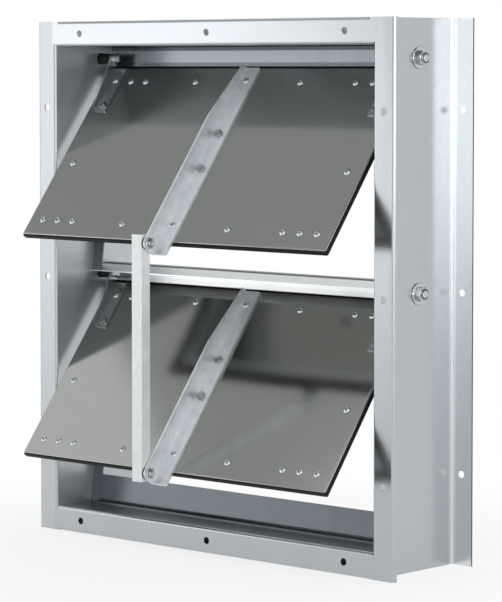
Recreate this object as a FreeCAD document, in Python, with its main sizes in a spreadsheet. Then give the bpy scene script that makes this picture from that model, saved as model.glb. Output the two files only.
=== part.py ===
import FreeCAD, Part
import math
import os
import Sketcher

# A two-blade gravity backdraft damper for square ducts, in millimetres. X runs across the duct,
# Y goes back into the casing from the front flange's face, Z is up. The origin is the middle of
# the clear opening on that face, and the blades stand open towards -Y.

DRIVING_SIZES = (
    # The casing: two side channels and two rails of folded steel sheet.
    ("opening_width", 540),
    ("opening_height", 600),
    ("casing_depth", 150),
    ("flange_width", 32),
    ("casing_sheet", 2),
    ("lip_depth", 7),
    ("casing_bend", 1.5),
    ("hole_diameter", 9),
    ("hole_spacing_across", 225),
    ("hole_spacing_up", 221),
    # Where the blades hang, and how far they swing from upright.
    ("axle_setback", 83),
    ("first_axle_drop", 16),
    ("last_blade_space", 20),
    ("shown_angle", 37),
    ("closed_angle", 7.8),
    # The blade and its seal, from the axle's centre line.
    ("blade_side_gap", 13),
    ("blade_top_drop", 6),
    ("blade_foot_gap", 10.5),
    ("blade_setback", 11.7),
    ("blade_sheet", 1.5),
    ("blade_corner", 2),
    ("seal_depth", 6.8),
    ("seal_band", 14.5),
    ("seal_fin", 1.5),
    ("seal_proud_top", 3.5),
    ("seal_proud_foot", 1.5),
    ("retainer_width", 14),
    ("retainer_sheet", 2),
    ("retainer_gap", 0.5),
    # The pattern of rivets round each blade.
    ("rivet_side_margin", 24),
    ("rivet_end_margin", 22.5),
    ("rivet_quarter", 89.5),
    ("rivet_cluster", 27),
    ("rivet_side_drop", 160),
    ("rivet_shank", 4),
    ("rivet_head", 9),
    ("rivet_head_rise", 2.2),
    ("rivet_tail", 6.5),
    ("rivet_tail_rise", 1.5),
    # The stops that the seals close on, and the rail between the blades.
    ("stop_sheet", 1.5),
    ("stop_clearance", 0.3),
    ("stop_lap", 21),
    ("top_stop_leg", 28),
    ("side_stop_face", 17),
    ("side_stop_wall_leg", 15),
    ("side_stop_end_gap", 0.5),
    ("bottom_stop_lap", 7),
    ("bottom_stop_foot", 9),
    ("bottom_stop_bend", 4),
    ("cap_front_advance", 13.5),
    ("cap_front_rise", 3.7),
    ("cap_back_setback", 5),
    ("cap_back_rise", 12.8),
    ("cap_lip", 1.5),
    # The lever down the middle of each blade.
    ("lever_sheet", 3),
    ("lever_left", 12.5),
    ("lever_flange", 25),
    ("lever_top_drop", 8),
    ("lever_overhang", 20),
    ("lever_rib", 23),
    ("lever_rib_top", 10.5),
    ("lever_rib_full_drop", 96),
    ("lever_bolt_drop", 111.5),
    ("lever_bolt_pitch", 53),
    ("pivot_overhang", 13.5),
    ("pivot_advance", 4.2),
    ("pivot_rim", 7.2),
    # The angle brackets that hang the blade on its hinge bolts.
    ("bracket_sheet", 2),
    ("bracket_inset", 9),
    ("bracket_flange", 24.5),
    ("bracket_top_drop", 9),
    ("bracket_end_drop", 78),
    ("bracket_chamfer", 6),
    ("bracket_leg_waist", 10),
    ("bracket_waist_drop", 28),
    ("bracket_leg_end", 4),
    ("bracket_eye", 6.8),
    ("bracket_bolt_drop", 68.5),
    # The link bar, a folded angle whose front leg faces the reader.
    ("link_width", 15),
    ("link_front", 9),
    ("link_back", 7),
    ("link_sheet", 2),
    ("link_end", 10.5),
    # Hinge pins, link pins and small fasteners.
    ("hinge_journal", 8),
    ("hinge_thread", 10),
    ("hinge_flats", 16),
    ("hinge_head", 12.5),
    ("hinge_head_rise", 6),
    ("hinge_nut_rise", 8),
    ("hinge_end_proud", 1),
    ("hinge_washer", 27),
    ("hinge_washer_sheet", 2),
    ("bush_outside", 13.6),
    ("bush_flange", 15),
    ("bush_flange_sheet", 2),
    ("link_pin", 8),
    ("link_pin_flats", 13),
    ("link_pin_head", 13),
    ("link_pin_head_rise", 3.5),
    ("link_pin_nut_rise", 4),
    ("link_pin_end_proud", 0.8),
    ("link_spacer", 15),
    ("link_spacer_sheet", 1.6),
    ("small_bolt", 6),
    ("small_flats", 10),
    ("small_head_rise", 4),
    ("small_nut_rise", 5),
    ("small_end_proud", 1.5),
    # Clearances.
    ("running_clearance", 0.08),
    ("end_play", 0.3),
    ("fixed_clearance", 0.1),
    ("free_pivot_clearance", 0.3),
)


class Size:
    """A number together with the formula over the sheet's cells that gives it."""

    def __init__(self, value, formula):
        self.value = float(value)
        self.formula = formula

    def __add__(self, other):
        return joined(self, "+", other, self.value + as_size(other).value)

    def __radd__(self, other):
        return as_size(other) + self

    def __sub__(self, other):
        return joined(self, "-", other, self.value - as_size(other).value)

    def __rsub__(self, other):
        return as_size(other) - self

    def __mul__(self, other):
        return joined(self, "*", other, self.value * as_size(other).value)

    def __rmul__(self, other):
        return as_size(other) * self

    def __truediv__(self, other):
        return joined(self, "/", other, self.value / as_size(other).value)

    def __neg__(self):
        return Size(-self.value, f"(-{self.formula})")


def as_size(number):
    return number if isinstance(number, Size) else Size(number, repr(number))


def joined(first, sign, second, value):
    return Size(value, f"({first.formula} {sign} {as_size(second).formula})")


def cosine(angle):
    return Size(math.cos(math.radians(angle.value)), f"cos({angle.formula})")


def sine(angle):
    return Size(math.sin(math.radians(angle.value)), f"sin({angle.formula})")


def tangent(angle):
    return Size(math.tan(math.radians(angle.value)), f"tan({angle.formula})")


def arc_sine(ratio):
    return Size(math.degrees(math.asin(ratio.value)), f"asin({ratio.formula})")


def root(square):
    return Size(math.sqrt(square.value), f"sqrt({square.formula})")


class DrivingSizes:
    """The driving dimensions as attributes, each tied to its cell in the sheet."""

    def __init__(self, sheet, rows):
        for line, (name, number) in enumerate(rows, start=1):
            sheet.set(f"A{line}", name)
            sheet.set(f"B{line}", str(number))
            sheet.setAlias(f"B{line}", name)
            setattr(self, name, Size(number, f"{sheet.Name}.{name}"))


doc = FreeCAD.newDocument("backdraft_damper")
sheet = doc.addObject("Spreadsheet::Sheet", "Sizes")
size = DrivingSizes(sheet, DRIVING_SIZES)
doc.recompute()

sub_parts = []
half_width = size.opening_width / 2
half_height = size.opening_height / 2
zero = as_size(0)


def bind(thing, path, amount):
    """Ties one property of an object to a size's formula."""
    thing.setExpression(path, as_size(amount).formula)


def place(thing, x, y, z, axis=(0, 0, 1), angle=zero):
    """Puts an object at x, y, z, turned by an angle about an axis."""
    spot = FreeCAD.Vector(as_size(x).value, as_size(y).value, as_size(z).value)
    turn = FreeCAD.Rotation(FreeCAD.Vector(*axis), angle.value)
    thing.Placement = FreeCAD.Placement(spot, turn)
    for letter, amount in zip("xyz", (x, y, z)):
        bind(thing, f"Placement.Base.{letter}", amount)
    if angle.formula != zero.formula:
        bind(thing, "Placement.Rotation.Angle", angle)
    return thing


def new_body(label):
    body = doc.addObject("PartDesign::Body", label)
    body.Label = label
    return body


def finish_body(body):
    sub_parts.append(body)
    return body


def sketch_on(body, role, level=zero):
    """An empty sketch on one of a body's own planes, lifted along the plane's normal."""
    plane = [item for item in body.Origin.OriginFeatures if item.Role == role][0]
    sketch = body.newObject("Sketcher::SketchObject", f"{body.Label}_sketch")
    sketch.AttachmentSupport = [(plane, "")]
    sketch.MapMode = "FlatFace"
    bind(sketch, "AttachmentOffset.Base.z", level)
    return sketch


def hold_point(sketch, geometry, position, u, v):
    """Dimensions a point from the sketch's origin."""
    for kind, amount in (("DistanceX", as_size(u)), ("DistanceY", as_size(v))):
        index = sketch.addConstraint(
            Sketcher.Constraint(kind, -1, 1, geometry, position, amount.value))
        name = f"{kind}_{index}"
        sketch.renameConstraint(index, name)
        bind(sketch, f"Constraints.{name}", amount)


def draw_outline(sketch, outline):
    """A closed outline of straight lines through the given points."""
    first = sketch.GeometryCount
    count = len(outline)
    spots = [FreeCAD.Vector(as_size(u).value, as_size(v).value, 0) for u, v in outline]
    for step in range(count):
        sketch.addGeometry(Part.LineSegment(spots[step], spots[(step + 1) % count]), False)
    for step in range(count):
        follower = first + (step + 1) % count
        sketch.addConstraint(Sketcher.Constraint("Coincident", first + step, 2, follower, 1))
    for step, (u, v) in enumerate(outline):
        hold_point(sketch, first + step, 1, u, v)


def draw_circle(sketch, u, v, diameter):
    centre = FreeCAD.Vector(as_size(u).value, as_size(v).value, 0)
    circle = Part.Circle(centre, FreeCAD.Vector(0, 0, 1), as_size(diameter).value / 2)
    geometry = sketch.addGeometry(circle, False)
    hold_point(sketch, geometry, 3, u, v)
    index = sketch.addConstraint(
        Sketcher.Constraint("Diameter", geometry, as_size(diameter).value))
    name = f"Diameter_{index}"
    sketch.renameConstraint(index, name)
    bind(sketch, f"Constraints.{name}", diameter)


def rectangle(left, right, low, high):
    return [(left, low), (right, low), (right, high), (left, high)]


def pad(body, sketch, length, centred=False, backwards=False):
    feature = body.newObject("PartDesign::Pad", f"{body.Label}_pad")
    feature.Profile = sketch
    feature.Midplane = centred
    feature.Reversed = backwards
    bind(feature, "Length", length)
    return feature


def drill(body, role, circles):
    """Holes right through a body, square to one of its planes."""
    sketch = sketch_on(body, role)
    for u, v, diameter in circles:
        draw_circle(sketch, u, v, diameter)
    doc.recompute()
    volume = body.Shape.Volume
    feature = body.newObject("PartDesign::Pocket", f"{body.Label}_holes")
    feature.Profile = sketch
    feature.Type = "ThroughAll"
    feature.Midplane = True
    doc.recompute()
    assert body.Shape.Volume < volume, f"{body.Label}: the holes cut nothing"


def round_corners(body, role, corners, radius):
    """Fillets the straight edges that stand on the given points of a sketch plane."""
    doc.recompute()
    first, second = {"XY_Plane": "xy", "XZ_Plane": "xz", "YZ_Plane": "yz"}[role]
    spots = [(as_size(u).value, as_size(v).value) for u, v in corners]
    tip = body.Tip
    names = []
    for number, edge in enumerate(tip.Shape.Edges, start=1):
        ends = [vertex.Point for vertex in edge.Vertexes]
        for u, v in spots:
            if len(ends) == 2 and all(math.hypot(getattr(end, first) - u, getattr(end, second) - v)
                                      < 1e-5 for end in ends):
                names.append(f"Edge{number}")
    assert len(names) >= len(spots), f"{body.Label}: a corner to round is missing"
    feature = body.newObject("PartDesign::Fillet", f"{body.Label}_bends")
    feature.Base = (tip, names)
    feature.Radius = as_size(radius).value
    bind(feature, "Radius", radius)
    doc.recompute()


def primitive(kind, **sizes):
    """A Part primitive with its sizes tied to the sheet."""
    thing = doc.addObject(f"Part::{kind}", kind)
    for name, amount in sizes.items():
        setattr(thing, name, as_size(amount).value)
        bind(thing, name, amount)
    return thing


def cylinder_along(diameter, start, end):
    """A round bar along Z."""
    bar = primitive("Cylinder", Radius=diameter / 2, Height=end - start)
    return place(bar, 0, 0, start)


def hexagon_along(flats, start, end, chamfer_down):
    """A hexagon along Z with the corners of one end taken off at 30 degrees, as on a nut."""
    prism = doc.addObject("Part::Prism", "Prism")
    prism.Polygon = 6
    bind(prism, "Circumradius", flats / math.sqrt(3))
    bind(prism, "Height", end - start)
    place(prism, 0, 0, start)
    narrow = flats * 0.48
    wide = narrow + (end - start) * math.sqrt(3)
    radii = (narrow, wide) if chamfer_down else (wide, narrow)
    cone = primitive("Cone", Radius1=radii[0], Radius2=radii[1], Height=end - start)
    place(cone, 0, 0, start)
    head = doc.addObject("Part::Common", "Hexagon")
    head.Base = prism
    head.Tool = cone
    return head


def fused(pieces):
    joint = doc.addObject("Part::MultiFuse", "Fused")
    joint.Shapes = pieces
    return joint


def bored(piece, diameter, start, end):
    """A piece with a round hole along Z."""
    cut = doc.addObject("Part::Cut", "Bored")
    cut.Base = piece
    cut.Tool = cylinder_along(diameter, start, end)
    return cut


def ring_along(outside, bore, start, end):
    return bored(cylinder_along(outside, start, end), bore, start, end)


def group(label, pieces):
    """Like pieces in one node, each a solid of its own."""
    bundle = doc.addObject("Part::Compound", label)
    bundle.Label = label
    bundle.Links = pieces
    sub_parts.append(bundle)
    return bundle


# Places that several sub-parts share.
blade_pitch = (size.opening_height - size.first_axle_drop - size.last_blade_space) / 2
blade_reach = blade_pitch - size.blade_foot_gap
lever_end = blade_reach + size.lever_overhang
pivot_drop = blade_reach + size.pivot_overhang
blade_half = half_width - size.blade_side_gap
rivet_column = blade_half - size.rivet_side_margin
row_top = -(size.blade_top_drop + size.rivet_end_margin)
row_foot = -(blade_reach - size.rivet_end_margin)
seal_top = size.blade_top_drop - size.seal_proud_top
seal_foot = blade_reach + size.seal_proud_foot
panel_back = size.blade_setback + size.blade_sheet
fin_back = panel_back + size.seal_fin
retainer_back = fin_back + size.retainer_sheet
seal_back = panel_back + size.seal_depth
stop_face = seal_back + size.stop_clearance
upper_axle = half_height - size.first_axle_drop
lower_axle = upper_axle - blade_pitch
rivet_hole = size.rivet_shank + 2 * size.fixed_clearance
small_hole = size.small_bolt + 2 * size.fixed_clearance
lever_line = size.lever_flange / 2 - size.lever_left
bracket_outer = blade_half - size.bracket_inset
shut_cosine = cosine(size.closed_angle)
shut_sine = sine(size.closed_angle)


def shut_place(axle, drop, behind):
    """The y and z of a point of a closed blade, by its drop below and place behind the axle."""
    y = size.axle_setback + behind * shut_cosine - drop * shut_sine
    z = axle - behind * shut_sine - drop * shut_cosine
    return y, z


def channel_section(across, sign):
    """Section of a casing channel: web, two outward flanges and a return lip on the front one."""
    inner = across * sign
    outer = (across + size.flange_width) * sign
    web_back = (across + size.casing_sheet) * sign
    lip_back = (across + size.flange_width - size.casing_sheet) * sign
    front = size.casing_sheet
    rear = size.casing_depth - size.casing_sheet
    return {
        "front_fold": (zero, inner),
        "lip_fold": (zero, outer),
        "lip_end": (size.lip_depth, outer),
        "lip_end_back": (size.lip_depth, lip_back),
        "lip_crook": (front, lip_back),
        "front_crook": (front, web_back),
        "rear_crook": (rear, web_back),
        "rear_end_front": (rear, outer),
        "rear_end": (size.casing_depth, outer),
        "rear_fold": (size.casing_depth, inner),
    }


def bend_channel(body, role, corners):
    outside = size.casing_bend + size.casing_sheet
    round_corners(body, role, [corners[name] for name in ("front_fold", "lip_fold", "rear_fold")],
                  outside)
    round_corners(body, role, [corners[name] for name in ("lip_crook", "front_crook", "rear_crook")],
                  size.casing_bend)


def side_channel(label, sign):
    """Full-height side of the casing, with the flange holes and the two axle holes."""
    body = new_body(label)
    section = channel_section(half_width, sign)
    corners = {name: (across, depth) for name, (depth, across) in section.items()}
    sketch = sketch_on(body, "XY_Plane")
    draw_outline(sketch, list(corners.values()))
    pad(body, sketch, size.opening_height + 2 * size.flange_width, centred=True)
    bend_channel(body, "XY_Plane", corners)
    column = (half_width + size.flange_width / 2) * sign
    holes = [(column, row, size.hole_diameter)
             for row in (-size.hole_spacing_up, zero, size.hole_spacing_up)]
    drill(body, "XZ_Plane", holes)
    axle_hole = size.hinge_thread + 2 * size.fixed_clearance
    drill(body, "YZ_Plane", [(size.axle_setback, axle, axle_hole) for axle in (upper_axle, lower_axle)])
    return finish_body(body)


def rail(label, sign):
    """Top or bottom of the casing, between the side channels."""
    body = new_body(label)
    corners = channel_section(half_height, sign)
    sketch = sketch_on(body, "YZ_Plane")
    draw_outline(sketch, list(corners.values()))
    pad(body, sketch, size.opening_width, centred=True)
    bend_channel(body, "YZ_Plane", corners)
    row = (half_height + size.flange_width / 2) * sign
    holes = [(column, row, size.hole_diameter)
             for column in (-size.hole_spacing_across, zero, size.hole_spacing_across)]
    drill(body, "XZ_Plane", holes)
    return finish_body(body)


def stop_web(axle, top_level):
    """Section points of the plate that a blade's top seal closes on: level top, bend and lower end."""
    bend = shut_place(axle, seal_top - size.stop_clearance, stop_face)
    end = shut_place(axle, size.stop_lap, stop_face)
    end_back = shut_place(axle, size.stop_lap, stop_face + size.stop_sheet)
    bend_back = (bend[0] + size.stop_sheet, bend[1] - size.stop_sheet * tangent(size.closed_angle / 2))
    return (bend[0], top_level), bend, end, end_back, bend_back, (bend[0] + size.stop_sheet, top_level)


def top_stop():
    """Angle under the top rail, its plate bent to the slope of the closed blade."""
    body = new_body("top_stop_angle")
    front_top, bend, end, end_back, bend_back, back_top = stop_web(upper_axle, half_height)
    under = half_height - size.stop_sheet
    tail = front_top[0] + size.top_stop_leg
    outline = [front_top, bend, end, end_back, bend_back, (back_top[0], under), (tail, under),
               (tail, half_height)]
    sketch = sketch_on(body, "YZ_Plane")
    draw_outline(sketch, outline)
    pad(body, sketch, size.opening_width, centred=True)
    round_corners(body, "YZ_Plane", [front_top], size.stop_sheet)
    return finish_body(body)


def mid_rail():
    """Folded rail between the blades: a sloping cap over the lower hinges, and their stop plate."""
    body = new_body("mid_rail")
    front = size.axle_setback - size.cap_front_advance
    back = size.axle_setback + size.cap_back_setback
    low = lower_axle + size.cap_front_rise
    high = lower_axle + size.cap_back_rise
    slope = (high - low) / (back - front)
    stretch = root(1 + slope * slope)
    sheet_gauge = size.stop_sheet
    front_top, bend, end, end_back, bend_back, back_top = stop_web(lower_axle, high)
    inner_front = (front + sheet_gauge, low + sheet_gauge * slope - sheet_gauge * stretch)
    inner_back = (back + sheet_gauge * (stretch - 1) / slope, high - sheet_gauge)
    outline = [
        (front, low - size.cap_lip),
        (front, low),
        (back, high),
        back_top,
        bend_back,
        end_back,
        end,
        bend,
        (front_top[0], high - sheet_gauge),
        inner_back,
        inner_front,
        (front + sheet_gauge, low - size.cap_lip),
    ]
    sketch = sketch_on(body, "YZ_Plane")
    draw_outline(sketch, outline)
    pad(body, sketch, size.opening_width, centred=True)
    round_corners(body, "YZ_Plane", [back_top], sheet_gauge)
    return finish_body(body)


def bottom_stop():
    """Angle on the bottom rail, its plate in the slope of the closed seal, its foot forwards."""
    body = new_body("bottom_stop_angle")
    gauge = size.stop_sheet
    top_drop = seal_foot - size.bottom_stop_lap
    face_top = shut_place(lower_axle, top_drop, stop_face)
    back_top = shut_place(lower_axle, top_drop, stop_face + gauge)
    lean = tangent(size.closed_angle)
    floor = -half_height
    foot_top = floor + gauge
    face_foot = (face_top[0] - (face_top[1] - foot_top) * lean, foot_top)
    back_foot = (back_top[0] - (back_top[1] - floor) * lean, floor)
    toe = face_foot[0] - size.bottom_stop_foot
    outline = [face_top, face_foot, (toe, foot_top), (toe, floor), back_foot, back_top]
    sketch = sketch_on(body, "YZ_Plane")
    draw_outline(sketch, outline)
    between = size.opening_width - 2 * (size.side_stop_face + size.stop_clearance)
    pad(body, sketch, between, centred=True)
    round_corners(body, "YZ_Plane", [face_foot], size.bottom_stop_bend)
    return finish_body(body)


def side_stop(label, sign, axle, face_level, wall_level):
    """Angle strip on a side channel, its face in the slope of the closed seal."""
    body = new_body(label)
    wall = half_width * sign
    inner = (half_width - size.side_stop_face) * sign
    gauge = size.stop_sheet
    back = stop_face + gauge
    tail = stop_face + size.side_stop_wall_leg
    start = size.stop_lap + size.side_stop_end_gap
    legs = (
        (rectangle(wall, inner, stop_face, back), face_level, back),
        (rectangle(wall, wall - gauge * sign, stop_face, tail), wall_level, tail),
    )
    for outline, level, rearmost in legs:
        end = (axle - rearmost * shut_sine - level) / shut_cosine
        sketch = sketch_on(body, "XY_Plane", -start)
        draw_outline(sketch, outline)
        pad(body, sketch, end - start, backwards=True)
    place(body, 0, size.axle_setback, axle, (-1, 0, 0), size.closed_angle)
    return finish_body(body)


def hang(thing, axle):
    """Places a piece of a blade, drawn about its axle and upright, at the angle shown."""
    return place(thing, 0, size.axle_setback, axle, (-1, 0, 0), size.shown_angle)


def flat_plate(body, outline, front, gauge):
    """Pads an outline in X and Z backwards from a plane."""
    sketch = sketch_on(body, "XZ_Plane", -front)
    draw_outline(sketch, outline)
    return pad(body, sketch, gauge, backwards=True)


def rivet_columns():
    """X of the rivets to the right of the lever, outermost last."""
    near = size.rivet_quarter
    far = 2 * size.rivet_quarter
    return [near, far, far + size.rivet_cluster, rivet_column]


def panel_rivet_spots():
    """Rivets that hold only the seal and its retainers."""
    columns = rivet_columns()
    spots = []
    for side in (-1, 1):
        spots += [(column * side, row_top) for column in columns[:3]]
        spots += [(column * side, row_foot) for column in columns]
        spots.append((rivet_column * side, -size.rivet_side_drop))
    return spots


def lever_rivet_spots():
    return [(lever_line, row_top), (lever_line, row_foot)]


def bracket_rivet_spots():
    return [(-rivet_column, row_top), (rivet_column, row_top)]


def bracket_bolt_spots():
    return [(-rivet_column, -size.bracket_bolt_drop), (rivet_column, -size.bracket_bolt_drop)]


def lever_bolt_spots():
    second = size.lever_bolt_drop + size.lever_bolt_pitch
    return [(lever_line, -size.lever_bolt_drop), (lever_line, -second)]


def all_panel_holes():
    rivets = panel_rivet_spots() + lever_rivet_spots() + bracket_rivet_spots()
    bolts = bracket_bolt_spots() + lever_bolt_spots()
    return [(x, z, rivet_hole) for x, z in rivets] + [(x, z, small_hole) for x, z in bolts]


def holes_within(left, right, low, high):
    """The panel holes whose centres lie in a rectangle."""
    return [hole for hole in all_panel_holes()
            if left.value < as_size(hole[0]).value < right.value
            and low.value < as_size(hole[1]).value < high.value]


def blade_panel(name, axle):
    """The blade's sheet, drilled for its rivets and bolts."""
    body = new_body(f"{name}_blade_panel")
    corners = rectangle(-blade_half, blade_half, -blade_reach, -size.blade_top_drop)
    flat_plate(body, corners, size.blade_setback, size.blade_sheet)
    round_corners(body, "XZ_Plane", corners, size.blade_corner)
    drill(body, "XZ_Plane", all_panel_holes())
    hang(body, axle)
    return finish_body(body)


def blade_seal(name, axle):
    """Rubber seal round the back of a blade: a thick rim and a thin fin under the retainers."""
    body = new_body(f"{name}_blade_seal")
    top = -seal_top
    foot = -seal_foot
    rim_top = -(size.blade_top_drop + size.seal_band)
    rim_foot = -(blade_reach - size.seal_band)
    rim_side = blade_half - size.seal_band
    fin_top = row_top - size.retainer_width / 2
    fin_foot = row_foot + size.retainer_width / 2
    fin_side = rivet_column - size.retainer_width / 2
    outer = rectangle(-blade_half, blade_half, foot, top)
    rim = sketch_on(body, "XZ_Plane", -panel_back)
    draw_outline(rim, outer)
    draw_outline(rim, rectangle(-rim_side, rim_side, rim_foot, rim_top))
    pad(body, rim, size.seal_depth, backwards=True)
    fin = sketch_on(body, "XZ_Plane", -panel_back)
    draw_outline(fin, outer)
    draw_outline(fin, rectangle(-fin_side, fin_side, fin_foot, fin_top))
    pad(body, fin, size.seal_fin, backwards=True)
    round_corners(body, "XZ_Plane", outer, size.blade_corner)
    rim_holes = [hole for hole in all_panel_holes() if hole not in holes_within(
        -fin_side, fin_side, fin_foot, fin_top)]
    drill(body, "XZ_Plane", rim_holes)
    hang(body, axle)
    return finish_body(body)


def retainer(label, axle, left, right, low, high):
    """Flat bar that clamps the seal's fin to the back of the blade."""
    body = new_body(label)
    flat_plate(body, rectangle(left, right, low, high), fin_back, size.retainer_sheet)
    drill(body, "XZ_Plane", holes_within(left, right, low, high))
    hang(body, axle)
    return finish_body(body)


def retainers(name, axle):
    half = size.retainer_width / 2
    long_end = rivet_column + half
    for place_name, row in (("top", row_top), ("bottom", row_foot)):
        retainer(f"{name}_seal_retainer_{place_name}", axle, -long_end, long_end, row - half,
                 row + half)
    low = row_foot + half + size.retainer_gap
    high = row_top - half - size.retainer_gap
    for place_name, sign in (("left", -1), ("right", 1)):
        sides = sorted((rivet_column * sign - half, rivet_column * sign + half),
                       key=lambda side: side.value)
        retainer(f"{name}_seal_retainer_{place_name}", axle, sides[0], sides[1], low, high)


def lever(name, axle):
    """Angle-section lever down the blade, its rib tapered at the top and rounded at the pivot."""
    body = new_body(f"{name}_lever")
    front = size.blade_setback
    left = -size.lever_left
    right = left + size.lever_flange
    rib_front = front - size.lever_rib
    toe = pivot_drop + size.pivot_rim
    heel = -size.pivot_advance + size.pivot_rim
    rib = [
        (front, -size.lever_top_drop),
        (front - size.lever_rib_top, -size.lever_top_drop),
        (rib_front, -size.lever_rib_full_drop),
        (rib_front, -toe),
        (heel, -toe),
        (front, -lever_end),
    ]
    rib_sketch = sketch_on(body, "YZ_Plane", left)
    draw_outline(rib_sketch, rib)
    pad(body, rib_sketch, size.lever_sheet)
    round_corners(body, "YZ_Plane", [rib[3]], size.pivot_rim - size.fixed_clearance)
    outline = rectangle(left, right, -lever_end, -size.lever_top_drop)
    flat_plate(body, outline, front - size.lever_sheet, size.lever_sheet)
    round_corners(body, "XZ_Plane", [outline[1], outline[2]], size.blade_corner)
    rivets = [(x, z, rivet_hole) for x, z in lever_rivet_spots()]
    bolts = [(x, z, small_hole) for x, z in lever_bolt_spots()]
    drill(body, "XZ_Plane", rivets + bolts)
    pivot_hole = size.link_pin + 2 * size.fixed_clearance
    drill(body, "YZ_Plane", [(-size.pivot_advance, -pivot_drop, pivot_hole)])
    hang(body, axle)
    return finish_body(body)


def hinge_bracket(label, sign, axle):
    """Angle bracket with an eye that turns on the hinge bolt."""
    body = new_body(label)
    eye = size.bracket_eye
    front = size.blade_setback
    outer = bracket_outer * sign
    inner = (bracket_outer - size.bracket_flange) * sign
    leg_level = (bracket_outer - size.bracket_sheet if sign > 0 else bracket_outer) * sign
    leg_end = size.bracket_end_drop - size.bracket_chamfer
    leg = [
        (front, -leg_end),
        (front - size.bracket_leg_end, -leg_end),
        (front - size.bracket_leg_waist, -size.bracket_waist_drop),
        (-eye, zero),
        (-eye, eye),
        (eye, eye),
        (eye, zero),
        (front, -size.bracket_top_drop),
    ]
    leg_sketch = sketch_on(body, "YZ_Plane", leg_level)
    draw_outline(leg_sketch, leg)
    pad(body, leg_sketch, size.bracket_sheet)
    round_corners(body, "YZ_Plane", [leg[4], leg[5]], eye - size.fixed_clearance)
    chamfer = size.bracket_chamfer * sign
    flange = [
        (inner, -size.bracket_top_drop),
        (inner, -size.bracket_end_drop),
        (outer - chamfer, -size.bracket_end_drop),
        (outer, -leg_end),
        (outer, -size.bracket_top_drop),
    ]
    flat_plate(body, flange, front - size.bracket_sheet, size.bracket_sheet)
    column = rivet_column * sign
    drill(body, "XZ_Plane", [(column, row_top, rivet_hole), (column, -size.bracket_bolt_drop, small_hole)])
    eye_hole = size.hinge_journal + 2 * size.running_clearance
    drill(body, "YZ_Plane", [(zero, zero, eye_hole)])
    hang(body, axle)
    return finish_body(body)


def rivet(x, z, head_seat, tail_seat):
    """Domed blind rivet across the blade, its head to the front."""
    rise = size.rivet_head_rise
    ball = (size.rivet_head * size.rivet_head / 4 + rise * rise) / (2 * rise)
    dome = primitive("Sphere", Radius=ball, Angle1=arc_sine((ball - rise) / ball))
    place(dome, 0, 0, rise - ball - head_seat)
    shank = cylinder_along(size.rivet_shank, -tail_seat, -head_seat)
    tail = cylinder_along(size.rivet_tail, -tail_seat - size.rivet_tail_rise, -tail_seat)
    whole = fused([dome, shank, tail])
    return place(whole, x, 0, z, (1, 0, 0), as_size(90))


def rivet_groups(name, axle):
    front = size.blade_setback
    kinds = (
        ("panel_rivets", panel_rivet_spots(), front, retainer_back),
        ("lever_rivets", lever_rivet_spots(), front - size.lever_sheet, retainer_back),
        ("bracket_rivets", bracket_rivet_spots(), front - size.bracket_sheet, retainer_back),
    )
    for kind, spots, head_seat, tail_seat in kinds:
        rivets = [rivet(x, z, head_seat, tail_seat) for x, z in spots]
        hang(group(f"{name}_{kind}", rivets), axle)


def small_bolt_groups(name, axle):
    """Small hexagon bolts through the blade, with their nuts behind it."""
    front = size.blade_setback
    kinds = (
        ("lever", lever_bolt_spots(), front - size.lever_sheet, panel_back),
        ("bracket", bracket_bolt_spots(), front - size.bracket_sheet, retainer_back),
    )
    for kind, spots, head_seat, nut_seat in kinds:
        bolts = []
        nuts = []
        for x, z in spots:
            head = hexagon_along(size.small_flats, -head_seat, size.small_head_rise - head_seat, False)
            nut_end = -nut_seat - size.small_nut_rise
            shank = cylinder_along(size.small_bolt, nut_end - size.small_end_proud, -head_seat)
            bolts.append(place(fused([head, shank]), x, 0, z, (1, 0, 0), as_size(90)))
            nut = hexagon_along(size.small_flats, nut_end, -nut_seat, True)
            bore = size.small_bolt + 2 * size.fixed_clearance
            nuts.append(place(bored(nut, bore, nut_end, -nut_seat), x, 0, z, (1, 0, 0), as_size(90)))
        hang(group(f"{name}_{kind}_bolts", bolts), axle)
        hang(group(f"{name}_{kind}_nuts", nuts), axle)


def along_x(piece, y, z, sign):
    """Turns a piece drawn along Z to point outwards along X on one side of the casing."""
    return place(piece, 0, y, z, (0, sign, 0), as_size(90))


def hinge_fasteners():
    """Hinge pins with their bushes inside the casing and washers and nuts outside, four of each."""
    head_seat = bracket_outer - size.bracket_sheet - size.end_play
    bush_end = bracket_outer + size.end_play
    wall_outside = half_width + size.casing_sheet
    nut_seat = wall_outside + size.hinge_washer_sheet
    nut_end = nut_seat + size.hinge_nut_rise
    bore = size.hinge_thread + 2 * size.fixed_clearance
    pins, bushes, washers, nuts = [], [], [], []
    for axle in (upper_axle, lower_axle):
        for sign in (-1, 1):
            head = cylinder_along(size.hinge_head, head_seat - size.hinge_head_rise, head_seat)
            journal = cylinder_along(size.hinge_journal, head_seat, bush_end)
            thread = cylinder_along(size.hinge_thread, bush_end, nut_end + size.hinge_end_proud)
            pins.append(along_x(fused([head, journal, thread]), size.axle_setback, axle, sign))
            sleeve = cylinder_along(size.bush_outside, bush_end, half_width)
            collar = cylinder_along(size.bush_flange, half_width - size.bush_flange_sheet, half_width)
            bush = bored(fused([sleeve, collar]), bore, bush_end, half_width)
            bushes.append(along_x(bush, size.axle_setback, axle, sign))
            washer = ring_along(size.hinge_washer, bore, wall_outside, nut_seat)
            washers.append(along_x(washer, size.axle_setback, axle, sign))
            nut = bored(hexagon_along(size.hinge_flats, nut_seat, nut_end, False), bore, nut_seat,
                        nut_end)
            nuts.append(along_x(nut, size.axle_setback, axle, sign))
    group("hinge_pins", pins)
    group("hinge_bushes", bushes)
    group("hinge_washers", washers)
    group("hinge_nuts", nuts)


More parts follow.
